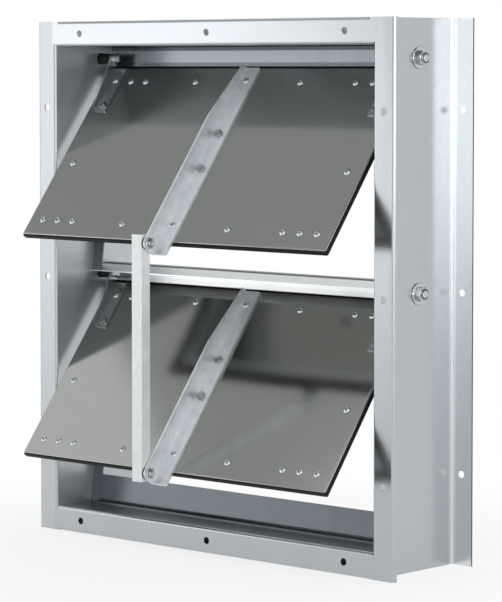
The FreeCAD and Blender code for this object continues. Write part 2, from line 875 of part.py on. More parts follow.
def link_pivot(axle):
    """The y and z of a lever's pivot at the angle shown."""
    shown_cosine = cosine(size.shown_angle)
    shown_sine = sine(size.shown_angle)
    y = size.axle_setback - size.pivot_advance * shown_cosine - pivot_drop * shown_sine
    z = axle + size.pivot_advance * shown_sine - pivot_drop * shown_cosine
    return y, z


# X of the faces along a link pin, from the link bar to the nut.
lever_outside = -size.lever_left
lever_inside = lever_outside + size.lever_sheet
link_right = lever_outside - size.link_spacer_sheet - size.end_play
link_inside = link_right - size.link_sheet


def link_bar():
    """Folded angle that ties the two levers together."""
    body = new_body("link_bar")
    upper_y, upper_z = link_pivot(upper_axle)
    lower_y, lower_z = link_pivot(lower_axle)
    left = link_right - size.link_width
    front = upper_y - size.link_front
    back = upper_y + size.link_back
    front_inside = front + size.link_sheet
    outline = [(left, front), (link_right, front), (link_right, back), (link_inside, back),
               (link_inside, front_inside), (left, front_inside)]
    sketch = sketch_on(body, "XY_Plane", lower_z - size.link_end)
    draw_outline(sketch, outline)
    pad(body, sketch, blade_pitch + 2 * size.link_end)
    round_corners(body, "XY_Plane", [outline[1]], size.link_sheet)
    running = size.link_pin + 2 * size.running_clearance
    free = size.link_pin + 2 * size.free_pivot_clearance
    drill(body, "YZ_Plane", [(upper_y, upper_z, running), (lower_y, lower_z, free)])
    return finish_body(body)


def link_fasteners(name, axle):
    """Pin, spacer and nut that join the link bar to one lever."""
    y, z = link_pivot(axle)
    head_seat = link_inside - size.end_play
    nut_end = lever_inside + size.link_pin_nut_rise
    bore = size.link_pin + 2 * size.fixed_clearance
    turned = {"y": y, "z": z, "sign": 1}
    head = cylinder_along(size.link_pin_head, head_seat - size.link_pin_head_rise, head_seat)
    shank = cylinder_along(size.link_pin, head_seat, nut_end + size.link_pin_end_proud)
    group(f"{name}_link_pin", [along_x(fused([head, shank]), **turned)])
    spacer = ring_along(size.link_spacer, bore, link_right + size.end_play, lever_outside)
    group(f"{name}_link_spacer", [along_x(spacer, **turned)])
    nut = bored(hexagon_along(size.link_pin_flats, lever_inside, nut_end, False), bore,
                lever_inside, nut_end)
    group(f"{name}_link_nut", [along_x(nut, **turned)])


side_channel("left_side_channel", -1)
side_channel("right_side_channel", 1)
rail("top_rail", 1)
rail("bottom_rail", -1)
top_stop()
mid_rail()
bottom_stop()
cap_front = lower_axle + size.cap_front_rise
cap_top = lower_axle + size.cap_back_rise
for side_name, side_sign in (("left", -1), ("right", 1)):
    side_stop(f"upper_{side_name}_stop", side_sign, upper_axle, cap_front, cap_top)
    side_stop(f"lower_{side_name}_stop", side_sign, lower_axle, -half_height, -half_height)
hinge_fasteners()

for blade_name, blade_axle in (("upper", upper_axle), ("lower", lower_axle)):
    blade_panel(blade_name, blade_axle)
    blade_seal(blade_name, blade_axle)
    retainers(blade_name, blade_axle)
    lever(blade_name, blade_axle)
    hinge_bracket(f"{blade_name}_left_bracket", -1, blade_axle)
    hinge_bracket(f"{blade_name}_right_bracket", 1, blade_axle)
    rivet_groups(blade_name, blade_axle)
    small_bolt_groups(blade_name, blade_axle)
    link_fasteners(blade_name, blade_axle)
link_bar()

doc.recompute()
for item in doc.Objects:
    troubles = [state for state in item.State if state in ("Invalid", "Error")]
    assert not troubles, f"{item.Label} is {troubles}"
for item in sub_parts:
    shape = item.Shape
    assert not shape.isNull() and shape.isValid(), f"{item.Label} has no valid shape"
    assert shape.Solids, f"{item.Label} holds no solid"

os.makedirs("parts", exist_ok=True)
for item in sub_parts:
    item.Shape.exportStep(os.path.join("parts", f"{item.Label}.step"))
print(f"{len(sub_parts)} sub-parts written")
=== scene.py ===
import math

import bpy
import numpy as np
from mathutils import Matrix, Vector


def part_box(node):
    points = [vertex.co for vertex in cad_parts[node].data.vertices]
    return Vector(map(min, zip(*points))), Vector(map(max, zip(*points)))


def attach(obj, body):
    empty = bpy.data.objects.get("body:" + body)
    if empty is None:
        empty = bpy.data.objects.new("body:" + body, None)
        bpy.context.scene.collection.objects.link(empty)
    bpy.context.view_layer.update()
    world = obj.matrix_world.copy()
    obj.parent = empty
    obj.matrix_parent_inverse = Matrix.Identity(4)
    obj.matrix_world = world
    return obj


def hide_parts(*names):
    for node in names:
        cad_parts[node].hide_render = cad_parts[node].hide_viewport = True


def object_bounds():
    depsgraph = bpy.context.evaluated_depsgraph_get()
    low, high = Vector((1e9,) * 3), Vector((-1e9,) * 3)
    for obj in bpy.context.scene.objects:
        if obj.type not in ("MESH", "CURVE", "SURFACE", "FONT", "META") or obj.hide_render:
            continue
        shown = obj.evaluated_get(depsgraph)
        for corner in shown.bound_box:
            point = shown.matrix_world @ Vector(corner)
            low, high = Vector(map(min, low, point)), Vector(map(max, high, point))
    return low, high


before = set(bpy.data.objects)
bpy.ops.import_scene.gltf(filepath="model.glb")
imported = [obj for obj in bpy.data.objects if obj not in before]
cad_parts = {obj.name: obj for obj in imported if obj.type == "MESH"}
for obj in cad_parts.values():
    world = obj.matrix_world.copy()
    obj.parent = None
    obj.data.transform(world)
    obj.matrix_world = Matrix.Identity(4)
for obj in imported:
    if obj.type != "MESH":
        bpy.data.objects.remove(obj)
cad_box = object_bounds()

# Casing: two side channels with a top and a bottom rail between them, folded from 2 mm sheet and
# holed through the middle of each flange. Hot-dip galvanised steel with a minimised spangle, left
# as it came from the mill.

# Bare dark steel for the rear flange's sheared edge; also the colour of the painted shade along the
# top folds of the stop strip and the mid rail.
bare_steel_and_shade = "#4A4E51"


def linear(shade):
    """A hex sRGB colour as linear RGBA: each part is ((part + 0.055) / 1.055) to the power 2.4, or
    near black the part over 12.92."""
    parts = [int(shade[start:start + 2], 16) / 255 for start in (1, 3, 5)]
    return [((part + 0.055) / 1.055) ** 2.4 if part > 0.04045 else part / 12.92
            for part in parts] + [1]


def add_node(tree, kind, settings=None, links=None):
    """Adds a node, or goes on with one that is there. Lower-case settings are the node's own, the
    others its sockets by identifier, and a link is the node and the output that it comes from."""
    node = tree.nodes.new(kind) if isinstance(kind, str) else kind
    sockets = {socket.identifier: socket for socket in node.inputs}
    for name, value in (settings or {}).items():
        if name[0].islower():
            setattr(node, name, value)
        else:
            sockets[name].default_value = value
    for name, (source, output) in (links or {}).items():
        outlet = next(socket for socket in source.outputs if socket.identifier == output)
        tree.links.new(outlet, sockets[name])
    return node


def new_finish(name):
    """A new material, its node tree, its shader and Object coordinates to draw patterns on."""
    finish = bpy.data.materials.new(name)
    finish.use_nodes = True
    tree = finish.node_tree
    return finish, tree, tree.nodes["Principled BSDF"], add_node(tree, "ShaderNodeTexCoord")


def dress(finish, *names):
    """Gives CAD nodes a finish."""
    for name in names:
        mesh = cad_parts[name].data
        mesh.materials.clear()
        mesh.materials.append(finish)


def galvanised(name, light_crystal, dark_crystal, roughness, metallic=0.94, bands=(1, 1, 0.15),
               rear_painted_light=None, shaded_top=None):
    """Hot-dip zinc with a fine, faint spangle: crystals about 4 mm wide that differ a little in
    tone and in gloss, on a sheet that the rollers have left wavy along one axis by a tenth or two
    of a millimetre. A rear colour makes the coat brighter over the last 10 mm towards the rear
    flange: a painted highlight for the lit rear flange mirrored in the wall. That flange's
    sheared edge is bare dark steel. A top height paints the coat dark from 1.5 mm below it
    upwards: painted shade for the shadow and dark reflection along a top fold."""
    finish, tree, shader, place = new_finish(name)
    crystals = add_node(tree, "ShaderNodeTexVoronoi", {"Scale": 1 / 0.004},
                        {"Vector": (place, "Object")})
    tone = add_node(tree, "ShaderNodeSeparateColor", {}, {"Color": (crystals, "Color")})
    clouds = add_node(tree, "ShaderNodeTexNoise", {"Scale": 1 / 0.06, "Detail": 4.0},
                      {"Vector": (place, "Object")})
    blended = add_node(tree, "ShaderNodeMix", {"Factor_Float": 0.75},
                       {"A_Float": (tone, "Red"), "B_Float": (clouds, "Fac")})
    colour = add_node(tree, "ShaderNodeMix",
                      {"data_type": "RGBA", "A_Color": linear(dark_crystal),
                       "B_Color": linear(light_crystal)},
                      {"Factor_Float": (blended, "Result_Float")})
    # Painted highlight: the coat lightens to the rear colour near the rear flange, for that lit
    # flange mirrored in the wall; the flange's sheared edge is bare dark steel.
    if rear_painted_light:
        fold, flange = 0.139, 0.148
        edge_start, edge_full = 0.3018, 0.30195
        spot = add_node(tree, "ShaderNodeSeparateXYZ", {}, {"Vector": (place, "Object")})
        rear = add_node(tree, "ShaderNodeMapRange",
                        {"interpolation_type": "SMOOTHSTEP", "From Min": fold, "From Max": flange},
                        {"Value": (spot, "Y")})
        colour = add_node(tree, "ShaderNodeMix",
                          {"data_type": "RGBA", "B_Color": linear(rear_painted_light)},
                          {"Factor_Float": (rear, "Result"), "A_Color": (colour, "Result_Color")})
        outer = add_node(tree, "ShaderNodeMapRange",
                         {"From Min": edge_start, "From Max": edge_full}, {"Value": (spot, "X")})
        sheared = add_node(tree, "ShaderNodeMath", {"operation": "MULTIPLY"},
                           {"Value": (rear, "Result"), "Value_001": (outer, "Result")})
        colour = add_node(tree, "ShaderNodeMix",
                          {"data_type": "RGBA", "B_Color": linear(bare_steel_and_shade)},
                          {"Factor_Float": (sheared, "Value"), "A_Color": (colour, "Result_Color")})
    # Painted shade: the coat turns dark steel from 1.5 mm below the top height upwards.
    if shaded_top:
        band, blur = 0.0015, 0.0003
        spot = add_node(tree, "ShaderNodeSeparateXYZ", {}, {"Vector": (place, "Object")})
        painted_shade = add_node(tree, "ShaderNodeMapRange",
                          {"From Min": shaded_top - band - blur, "From Max": shaded_top - band + blur},
                          {"Value": (spot, "Z")})
        colour = add_node(tree, "ShaderNodeMix",
                          {"data_type": "RGBA", "B_Color": linear(bare_steel_and_shade)},
                          {"Factor_Float": (painted_shade, "Result"), "A_Color": (colour, "Result_Color")})
    gloss = add_node(tree, "ShaderNodeMapRange",
                     {"To Min": roughness - 0.03, "To Max": roughness + 0.03},
                     {"Value": (blended, "Result_Float")})
    drawn = add_node(tree, "ShaderNodeMapping", {"Scale": bands}, {"Vector": (place, "Object")})
    waves = add_node(tree, "ShaderNodeTexNoise", {"Scale": 1 / 0.04, "Detail": 1.0},
                     {"Vector": (drawn, "Vector")})
    wavy = add_node(tree, "ShaderNodeBump", {"Strength": 1.0, "Distance": 0.0004},
                    {"Height": (waves, "Fac")})
    add_node(tree, shader, {"Metallic": metallic},
             {"Base Color": (colour, "Result_Color"), "Roughness": (gloss, "Result"),
              "Normal": (wavy, "Normal")})
    return finish


casing_zinc = galvanised("galvanised_rail_sheet", "#BABEC1", "#B1B6BA", 0.26, bands=(0.15, 1, 1))
dress(casing_zinc, "top_rail", "bottom_rail")
# Painted light: the left channel's zinc is a paler, less metallic copy of the casing's, lifting its
# inner wall out of the shade.
dress(galvanised("galvanised_left_channel", "#C6CACD", "#BDC2C6", 0.34, 0.68), "left_side_channel")
# Painted highlight: the right wall lightens towards the rear flange, which it mirrors lit.
dress(galvanised("galvanised_right_channel", "#B9BDC0", "#B0B5B9", 0.22, 0.96,
                 rear_painted_light="#E0E3E5"), "right_side_channel")

# Corner seams: where a rail's front flange butts against a side channel, the groove of the fold is
# filled with weld and dressed flush, so the front reads as one frame. Steel, zinc-sprayed.


def make_piece(name, solid, finish, body, slot, *stands_for, sharp=32):
    """Makes a piece from points in millimetres, smooth except where faces meet at more than an
    angle, and hands it to the frame."""
    points, faces = solid
    mesh = bpy.data.meshes.new(name)
    mesh.from_pydata((np.asarray(points) / 1000).tolist(), [], faces)
    mesh.validate()
    mesh.shade_smooth()
    mesh.set_sharp_from_angle(angle=math.radians(sharp))
    mesh.materials.append(finish)
    piece = bpy.data.objects.new(name, mesh)
    bpy.context.scene.collection.objects.link(piece)
    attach(piece, body)
    if stands_for:
        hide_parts(*stands_for)
    return piece


def repeated(faces, points, times):
    """The faces of a solid of so many points, over again for each copy of it."""
    return [[corner + shift for corner in face] for shift in points * np.arange(times)
            for face in faces]


def corner_seams():
    """Four upright bars over the butt joints: one profile, flat on top with feathered edges, drawn
    from the flange's fold to its outer edge."""
    half, crown, root = 6.5, 2.6, 1.2
    feather, proud = 0.02, -0.01
    joint, fold, edge = 271.5, 302.6, 331.9
    profile = np.array([(-half, root), (-half, feather), (-crown, proud), (crown, proud),
                        (half, feather), (half, root)])
    middles = joint * np.array([-1, 1, -1, 1])[:, None, None]
    ends = np.array([[fold, edge], [fold, edge], [-edge, -fold], [-edge, -fold]])[:, :, None]
    points = np.stack(np.broadcast_arrays(middles + profile[:, 0], profile[:, 1], ends), -1)
    low_end = np.arange(len(profile))
    high_end, beside = low_end + len(profile), np.roll(low_end, -1)
    bar = np.stack([low_end, beside, beside + len(profile), high_end], -1).tolist()
    bar += [low_end[::-1].tolist(), high_end.tolist()]
    return points.reshape(-1, 3), repeated(bar, 2 * len(profile), len(middles))


make_piece("corner_seams", corner_seams(), casing_zinc, "casing", "galvanised_steel", sharp=20)

# Stops: folded strips of 1.5 mm galvanised sheet that the shut blades rest on, and the mid rail,
# whose sloping cap shields the lower hinges. All are spot-welded to the casing.

# Tops of the stop strip and of the mid rail's cap: from 1.5 mm below each the zinc is painted dark,
# painted shade for the shadow under the top rail and the dark reflection in the cap's fold.
strip_shaded_top = 0.2957
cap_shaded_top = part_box("mid_rail")[1].z
# Painted shade: the stop strips are darker copies of the casing's zinc for their place in its
# shade, and the bottom and side stops, deeper in, darker still.
dress(galvanised("galvanised_stop_strip", "#868D92", "#7B8287", 0.28, shaded_top=strip_shaded_top),
      "top_stop_angle")
dress(galvanised("painted_shade_stop_strip", "#6F757A", "#646A6F", 0.30), "bottom_stop_angle",
      "upper_left_stop", "upper_right_stop", "lower_left_stop", "lower_right_stop")
# Painted light: the mid rail's zinc is a paler, less metallic copy of the casing's, for the lamp
# light on its cap.
dress(galvanised("galvanised_mid_rail", "#EEF0F0", "#E4E6E7", 0.33, shaded_top=cap_shaded_top), "mid_rail")

# Hinge pins: one turned and threaded pin at each upper corner of a blade, its round head inside,
# and outside the casing a wide washer and a self-locking nut. Bright zinc-plated steel.

axle_y = 83.0
axle_heights = {"upper": 284.0, "lower": 2.0}
around = 2 * np.pi * np.arange(72) / 72


def level_rows(profile):
    """Rows of a plain turned shape, from (radius, height) points with that radius all round."""
    rows = np.array(profile, float)[:, :, None] + np.zeros_like(around)
    return rows[:, 0], rows[:, 1]


def hexagon_rows(flats, low, high):
    """Rows of a hexagon bar with ends turned to a cone: at each angle the radius is the smaller of
    the hexagon's, half the flats over the cosine of the angle to the nearest flat's middle, and the
    cone's, which grows by 1.73 for each unit of depth from the end."""
    chamfer, end_radius, slope = 0.055 * flats, 0.485 * flats, 1.73
    bar = flats / 2 / np.cos((around + np.pi / 6) % (np.pi / 3) - np.pi / 6)
    depth = np.linspace(0, chamfer, 5)[:, None]
    cone = np.minimum(bar, end_radius + slope * depth)
    radii = np.vstack([cone, cone[::-1]])
    heights = np.vstack([low + depth, high - depth[::-1]]) + np.zeros_like(around)
    return radii, heights


def thread_rows(diameter, pitch, low, high):
    """Rows of a thread, eight to a pitch: the radius falls by up to 0.3 of the pitch as a triangle
    wave of the height in pitches less the angle in turns."""
    count = max(3, int((high - low) / pitch * 8))
    heights = np.linspace(low, high, count)[:, None]
    turn = (heights / pitch - around / (2 * np.pi)) % 1
    radii = diameter / 2 - 0.3 * pitch * np.abs(2 * turn - 1)
    return radii, heights + np.zeros_like(around)


def turn_solid(*parts, ring=False):
    """Points and faces of rows stacked from low to high: each point is its radius times the cosine
    and sine of its angle, at its height. The ends close to a point on the axis, or onto each other
    for a ring."""
    radii = np.vstack([part[0] for part in parts])
    heights = np.vstack([part[1] for part in parts])
    points = np.stack([radii * np.cos(around), radii * np.sin(around), heights], -1).reshape(-1, 3)
    index = np.arange(radii.size).reshape(radii.shape)
    if ring:
        index = np.vstack([index, index[:1]])
    beside = np.roll(index, -1, axis=1)
    faces = np.stack([index[:-1], beside[:-1], beside[1:], index[1:]], -1).reshape(-1, 4).tolist()
    if not ring:
        low_pole, high_pole = len(points), len(points) + 1
        points = np.vstack([points, [[0, 0, heights[0].mean()], [0, 0, heights[-1].mean()]]])
        faces += [[low_pole, after, before] for before, after in zip(index[0], beside[0])]
        faces += [[high_pole, before, after] for before, after in zip(index[-1], beside[-1])]
    return points, faces


def copies(solid, origins, axes, turns=None):
    """One solid set at several places: each point is turned about its own axis, then measured off
    along the three axes from the origin."""
    points, faces = solid
    origins = np.array(origins, float)
    turns = np.zeros(len(origins)) if turns is None else np.array(turns)
    cosine, sine = np.cos(turns)[:, None], np.sin(turns)[:, None]
    turned = np.stack([points[:, 0] * cosine - points[:, 1] * sine,
                       points[:, 0] * sine + points[:, 1] * cosine,
                       points[:, 2] + 0 * cosine], -1)
    axes = np.broadcast_to(np.array(axes, float), (len(origins), 3, 3))
    placed = np.einsum("nij,njk->nik", turned, axes) + origins[:, None, :]
    return placed.reshape(-1, 3), repeated(faces, len(points), len(origins))


def plated(name, light, dark, roughness):
    """Zinc plating over turned or rolled steel, or bare metal as bright: a faint cloud of
    passivation and fine tool marks."""
    finish, tree, shader, place = new_finish(name)
    cloud = add_node(tree, "ShaderNodeTexNoise", {"Scale": 1 / 0.004, "Detail": 3.0},
                     {"Vector": (place, "Object")})
    colour = add_node(tree, "ShaderNodeMix",
                      {"data_type": "RGBA", "A_Color": linear(dark), "B_Color": linear(light)},
                      {"Factor_Float": (cloud, "Fac")})
    gloss = add_node(tree, "ShaderNodeMapRange",
                     {"To Min": roughness - 0.06, "To Max": roughness + 0.06},
                     {"Value": (cloud, "Fac")})
    marks = add_node(tree, "ShaderNodeTexNoise", {"Scale": 1 / 0.0009, "Detail": 1.0},
                     {"Vector": (place, "Object")})
    rough = add_node(tree, "ShaderNodeBump", {"Strength": 1.0, "Distance": 0.00001},
                     {"Height": (marks, "Fac")})
    add_node(tree, shader, {"Metallic": 1.0},
             {"Base Color": (colour, "Result_Color"), "Roughness": (gloss, "Result"),
              "Normal": (rough, "Normal")})
    return finish


def moulded(name, shade, roughness, grain):
    """Moulded black plastic or rubber with a fine matt grain."""
    finish, tree, shader, place = new_finish(name)
    speck = add_node(tree, "ShaderNodeTexNoise", {"Scale": 1 / grain, "Detail": 3.0},
                     {"Vector": (place, "Object")})
    gloss = add_node(tree, "ShaderNodeMapRange",
                     {"To Min": roughness - 0.08, "To Max": roughness + 0.08},
                     {"Value": (speck, "Fac")})
    matt = add_node(tree, "ShaderNodeBump", {"Strength": 1.0, "Distance": grain / 60},
                    {"Height": (speck, "Fac")})
    add_node(tree, shader, {"Base Color": linear(shade), "Specular IOR Level": 0.25},
             {"Roughness": (gloss, "Result"), "Normal": (matt, "Normal")})
    return finish


bright_zinc = plated("bright_zinc_plate", "#C9CDCE", "#AEB2B4", 0.15)
nylon = moulded("black_nylon", "#141414", 0.42, 0.0012)
outwards = {1: [[0, 1, 0], [0, 0, 1], [1, 0, 0]], -1: [[0, -1, 0], [0, 0, 1], [-1, 0, 0]]}
hinges = [(height, side) for height in axle_heights.values() for side in (1, -1)]
hinge_corners = [(0, axle_y, height) for height, _ in hinges]
hinge_axes = [outwards[side] for _, side in hinges]

# Each turned shape below is (radius, millimetres out from the middle of the opening).
head_face, head_back, shoulder = 239.8, 245.7, 248.3
web_face, nut_seat, nut_top = 272.0, 274.0, 282.0
nylon_seat, nylon_top = 280.6, 281.3
pin = turn_solid(
    level_rows([(4.9, head_face), (5.7, head_face + 0.3), (6.2, head_face + 1.2),
                (6.25, head_back - 0.7), (5.9, head_back), (4.0, head_back), (4.0, shoulder),
                (5.0, shoulder)]),
    thread_rows(10, 1.5, nut_seat + 1, nut_top + 0.3),
    level_rows([(4.6, nut_top + 0.6), (4.0, nut_top + 1)]))
make_piece("turned_hinge_pins", copies(pin, hinge_corners, hinge_axes), bright_zinc, "casing",
           "zinc_fasteners", "hinge_pins")
washer = turn_solid(level_rows([(5.2, web_face), (12.9, web_face), (13.5, web_face + 0.5),
                                (13.5, nut_seat - 0.6), (13.0, nut_seat), (5.2, nut_seat)]),
                    ring=True)
make_piece("wide_washers", copies(washer, hinge_corners, hinge_axes), bright_zinc, "casing",
           "zinc_fasteners", "hinge_washers")
hexagon = hexagon_rows(16, nut_seat, nut_seat + 5.6)
collar = level_rows([(7.1, nut_seat + 5.8), (7.1, nylon_top), (6.9, nut_top - 0.2), (6.5, nut_top),
                     (6.2, nut_top - 0.2), (6.1, nylon_seat), (5.2, nylon_seat), (5.2, nut_seat)])
nut_turns = [0.2, 1.3, 0.7, 1.9]
make_piece("locking_nuts",
           copies(turn_solid(hexagon, collar, ring=True), hinge_corners, hinge_axes, nut_turns),
           bright_zinc, "casing", "zinc_fasteners", "hinge_nuts")
insert = turn_solid(level_rows([(5.05, nylon_seat), (6.1, nylon_seat), (6.1, nylon_top),
                                (5.6, nylon_top + 0.2), (5.05, nylon_top - 0.1)]), ring=True)
make_piece("nut_inserts", copies(insert, hinge_corners, hinge_axes), nylon, "casing",
           "black_nylon")
dress(nylon, "hinge_bushes")

# Blades: flat panels of bright rolled aluminium 1.5 mm thick, sheared and deburred. The rolling
# runs across the blade, and the surface is nearly a mirror.


def rolled_sheet():
    """Mill-rolled aluminium: lines under half a millimetre apart, drawn 1.5 mm apart so that they
    show, and a slow swell that bends the reflections."""
    finish, tree, shader, place = new_finish("bright_rolled_aluminium")
    stretch = add_node(tree, "ShaderNodeMapping", {"Scale": (0.03, 1.0, 1.0)},
                       {"Vector": (place, "Object")})
    lines = add_node(tree, "ShaderNodeTexNoise", {"Scale": 1 / 0.0015, "Detail": 2.0},
                     {"Vector": (stretch, "Vector")})
    cloud = add_node(tree, "ShaderNodeTexNoise", {"Scale": 1 / 0.09, "Detail": 3.0},
                     {"Vector": (place, "Object")})
    blended = add_node(tree, "ShaderNodeMix", {"Factor_Float": 0.5},
                       {"A_Float": (lines, "Fac"), "B_Float": (cloud, "Fac")})
    colour = add_node(tree, "ShaderNodeMix",
                      {"data_type": "RGBA", "A_Color": linear("#969895"),
                       "B_Color": linear("#9FA19E")},
                      {"Factor_Float": (blended, "Result_Float")})
    gloss = add_node(tree, "ShaderNodeMapRange", {"To Min": 0.09, "To Max": 0.15},
                     {"Value": (blended, "Result_Float")})
    swell = add_node(tree, "ShaderNodeTexNoise", {"Scale": 1 / 0.16, "Detail": 0.0},
                     {"Vector": (place, "Object")})
    swollen = add_node(tree, "ShaderNodeBump", {"Strength": 1.0, "Distance": 0.0008},
                       {"Height": (swell, "Fac")})
    lined = add_node(tree, "ShaderNodeBump", {"Strength": 1.0, "Distance": 0.000006},
                     {"Height": (lines, "Fac"), "Normal": (swollen, "Normal")})
    add_node(tree, shader, {"Metallic": 1.0},
             {"Base Color": (colour, "Result_Color"), "Roughness": (gloss, "Result"),
              "Normal": (lined, "Normal")})
    return finish


blade_angle = math.radians(37)
along_front = np.array([0, -math.cos(blade_angle), math.sin(blade_angle)])
along_up = np.array([0, math.sin(blade_angle), math.cos(blade_angle)])
blade_axes = np.array([[1, 0, 0], along_up, along_front])
panel_half, panel_top, panel_foot = 257.0, -6.0, -271.5
sheet_front, sheet_back = -11.7, -13.2


def on_blade(name, across, up, front):
    """A blade's own millimetres, measured from its axle, in the open blade's place."""
    origin = np.array([0, axle_y, axle_heights[name]])
    local = np.stack(np.broadcast_arrays(across, up, front), -1).astype(float)
    return local @ blade_axes + origin


def round_the_edge(name, half, top, foot, radius, front):
    """Points of rows round a blade: each row is a rectangle with rounded corners at its own depth,
    six points to a corner, so a column of points runs across the edge's profile."""
    half, top, foot, radius, front = (np.asarray(value, float)[:, None]
                                      for value in (half, top, foot, radius, front))
    corner = np.repeat(np.arange(4), 6)
    angle = np.tile(np.linspace(0, np.pi / 2, 6), 4) + corner * np.pi / 2
    across = np.where(np.isin(corner, (0, 3)), half - radius, radius - half)
    up = np.where(corner < 2, top - radius, foot + radius)
    return on_blade(name, across + radius * np.cos(angle), up + radius * np.sin(angle), front)


def grid_faces(index):
    """Faces between the rows of a grid of point numbers whose columns close in a ring."""
    beside = np.roll(index, -1, axis=1)
    return np.stack([index[:-1], index[1:], beside[1:], beside[:-1]], -1).reshape(-1, 4).tolist()


def panel_solid(name):
    """The sheet: flat in front and behind, with the roll-over that shears leave round the front, a
    quarter ellipse 1.6 mm wide and 1.1 mm deep."""
    roll_width, roll_depth = 1.6, 1.1
    corner_radius, sharpest = 2.0, 0.3
    sweep = np.linspace(0, np.pi / 2, 9)
    rolled = sheet_front - roll_depth + roll_depth * np.cos(sweep)
    inset = np.concatenate([[6, 3, 2], roll_width - roll_width * np.sin(sweep), [0, 2, 6]])
    front = np.concatenate([[sheet_front] * 3, rolled, [sheet_back] * 3])
    points = round_the_edge(name, panel_half - inset, panel_top - inset, panel_foot + inset,
                            np.maximum(corner_radius - inset, sharpest), front)
    index = np.arange(points[..., 0].size).reshape(points.shape[:2])
    return points.reshape(-1, 3), grid_faces(index) + [index[0].tolist(), index[-1][::-1].tolist()]


mirror_sheet = rolled_sheet()
for name in axle_heights:
    make_piece(f"{name}_rolled_panel", panel_solid(name), mirror_sheet, f"{name}_blade",
               "blade_sheet", f"{name}_blade_panel", sharp=50)

# Blade seals: an extruded EPDM rubber rim behind the panel's edge, with a thin fin that runs in
# under the retainers. Cut at 45 degrees and glued at the corners.


def seal_solid(name):
    """A profile of (share, depth) points carried round a rounded rectangle. Share 0 is the rim's
    outer edge, past which its soft side bulges by up to 0.9 mm at share -0.1, 1 the rim's inner
    edge and 2 the fin's inner edge. The half width, top, foot and corner radius of the path are
    read off between those."""
    profile = np.array([(0, -13.2), (-0.04, -13.5), (-0.09, -14.4), (-0.1, -15.6), (-0.1, -18.2),
                        (-0.04, -19.4), (0.1, -19.95), (0.24, -20.0), (0.42, -19.75),
                        (0.58, -19.75), (0.76, -20.0), (0.88, -19.6), (0.95, -18.9), (1, -17.9),
                        (1, -15.6), (1.03, -14.9), (1.1, -14.7), (1.95, -14.7), (2, -14.4),
                        (2, -13.2)])[::-1]
    share, front = profile.T
    known = [-0.1, 0, 1, 2]
    half = np.interp(share, known, [257.9, 257, 242.5, 226])
    top = np.interp(share, known, [-2.0, -2.5, -20.5, -35.5])
    foot = np.interp(share, known, [-273.1, -273, -257, -242])
    radius = np.interp(share, [0, 0.15, 2], [2.0, 0.6, 0.3])
    points = round_the_edge(name, half, top, foot, radius, front)
    index = np.arange(points[..., 0].size).reshape(points.shape[:2])
    return points.reshape(-1, 3), grid_faces(np.vstack([index, index[:1]]))


rubber = moulded("epdm_rubber", "#0C0C0C", 0.65, 0.0008)
for name in axle_heights:
    make_piece(f"{name}_seal", seal_solid(name), rubber, f"{name}_blade", "seal_rubber",
               f"{name}_blade_seal", sharp=50)

# Seal retainers: four flat bars of extruded aluminium per blade, sawn to length, that clamp the
# seal's fin to the back of the panel.


def drawn_aluminium(name, light, dark, roughness, turn, stretch, metallic=1.0):
    """Extruded aluminium: die lines along its length, half a millimetre apart, drawn 1 mm apart,
    and cloudy handling marks a centimetre or two wide."""
    finish, tree, shader, place = new_finish(name)
    upright = add_node(tree, "ShaderNodeMapping", {"Rotation": turn}, {"Vector": (place, "Object")})
    drawn = add_node(tree, "ShaderNodeMapping", {"Scale": stretch},
                     {"Vector": (upright, "Vector")})
    lines = add_node(tree, "ShaderNodeTexNoise", {"Scale": 1 / 0.001, "Detail": 2.0},
                     {"Vector": (drawn, "Vector")})
    cloud = add_node(tree, "ShaderNodeTexNoise", {"Scale": 1 / 0.014, "Detail": 5.0},
                     {"Vector": (place, "Object")})
    blended = add_node(tree, "ShaderNodeMix", {"Factor_Float": 0.65},
                       {"A_Float": (lines, "Fac"), "B_Float": (cloud, "Fac")})
    patchy = add_node(tree, "ShaderNodeMapRange", {"From Min": 0.35, "From Max": 0.65},
                      {"Value": (blended, "Result_Float")})
    colour = add_node(tree, "ShaderNodeMix",
                      {"data_type": "RGBA", "A_Color": linear(dark), "B_Color": linear(light)},
                      {"Factor_Float": (patchy, "Result")})
    gloss = add_node(tree, "ShaderNodeMapRange",
                     {"To Min": roughness - 0.07, "To Max": roughness + 0.07},
                     {"Value": (patchy, "Result")})
    lined = add_node(tree, "ShaderNodeBump", {"Strength": 1.0, "Distance": 0.00002},
                     {"Height": (lines, "Fac")})
    add_node(tree, shader, {"Metallic": metallic},
             {"Base Color": (colour, "Result_Color"), "Roughness": (gloss, "Result"),
              "Normal": (lined, "Normal")})
    return finish


square_on, with_blade = (0, 0, 0), (blade_angle, 0, 0)
lines_across, lines_upright = (0.03, 1, 1), (1, 1, 0.03)
long_bars = drawn_aluminium("flat_bar_drawn_across", "#C9CCCE", "#B6B9BB", 0.38, square_on,
                            lines_across)
side_bars = drawn_aluminium("flat_bar_drawn_upright", "#C9CCCE", "#B6B9BB", 0.38, with_blade,
                            lines_upright)
for name in axle_heights:
    dress(long_bars, f"{name}_seal_retainer_top", f"{name}_seal_retainer_bottom")
    dress(side_bars, f"{name}_seal_retainer_left", f"{name}_seal_retainer_right")

# Levers: one angle per blade down its middle, with a rib that tapers at the top and a rounded lobe
# for the link's pin. Satin aluminium, sawn, milled and deburred.

satin_lever = drawn_aluminium("satin_aluminium_angle", "#F0F3F5", "#DADFE4", 0.42, with_blade,
                              lines_upright, 0.7)
dress(satin_lever, "upper_lever", "lower_lever")

# Hinge brackets: pressed from 2 mm galvanised steel, a flat leg on the blade and an eye that turns
# on the hinge pin.

bracket_zinc = galvanised("pressed_galvanised_bracket", "#B7BBBC", "#A3A8A9", 0.20)
for name in axle_heights:
    dress(bracket_zinc, f"{name}_left_bracket", f"{name}_right_bracket")

